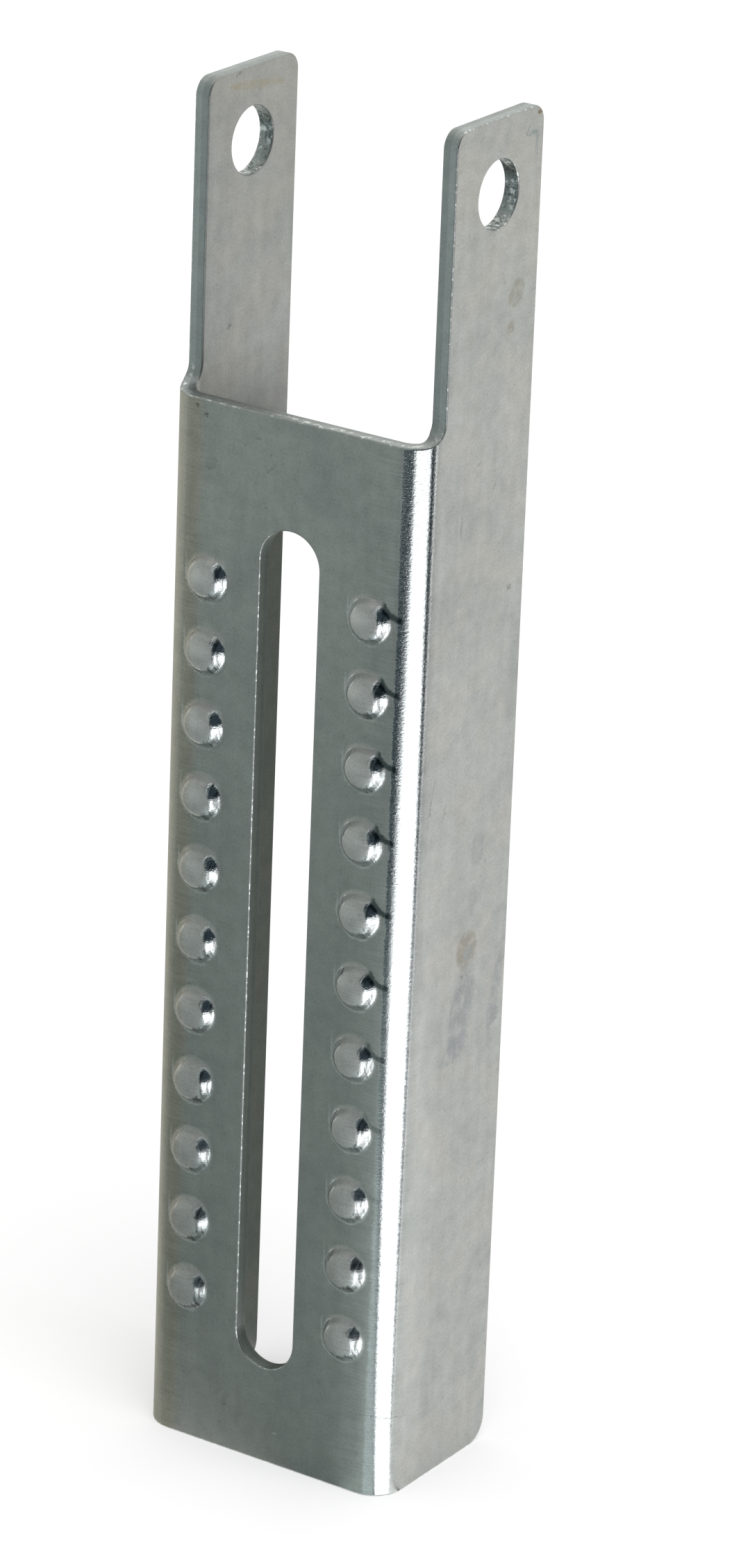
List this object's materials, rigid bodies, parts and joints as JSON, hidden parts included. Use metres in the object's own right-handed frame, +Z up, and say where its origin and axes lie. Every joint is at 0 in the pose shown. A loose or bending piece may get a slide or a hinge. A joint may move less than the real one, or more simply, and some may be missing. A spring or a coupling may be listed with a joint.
{
  "type": "trailer bunk bracket",
  "caption": "Folded galvanised steel channel with bolt ears, a long slot and gripping dimples; it holds a bunk board's swivel above a boat trailer's cross member.",
  "frame": {"origin": "on the foot plane, at the middle of the bounding box in X and Y (dimples included)", "axes": "+Z up from the foot to the ears, the web's outer face looks along -Y, the flanges run back along +Y, and the ear bolt's axis is X"},
  "size_m": [0.0566, 0.0376, 0.2667],
  "materials": {
    "zinc_sheet": "dull zinc coating with light rub marks, burnished bright on the outside of the bends"
  },
  "bodies": {
    "root": {"bracket": "zinc_sheet"}
  },
  "joints": []
}
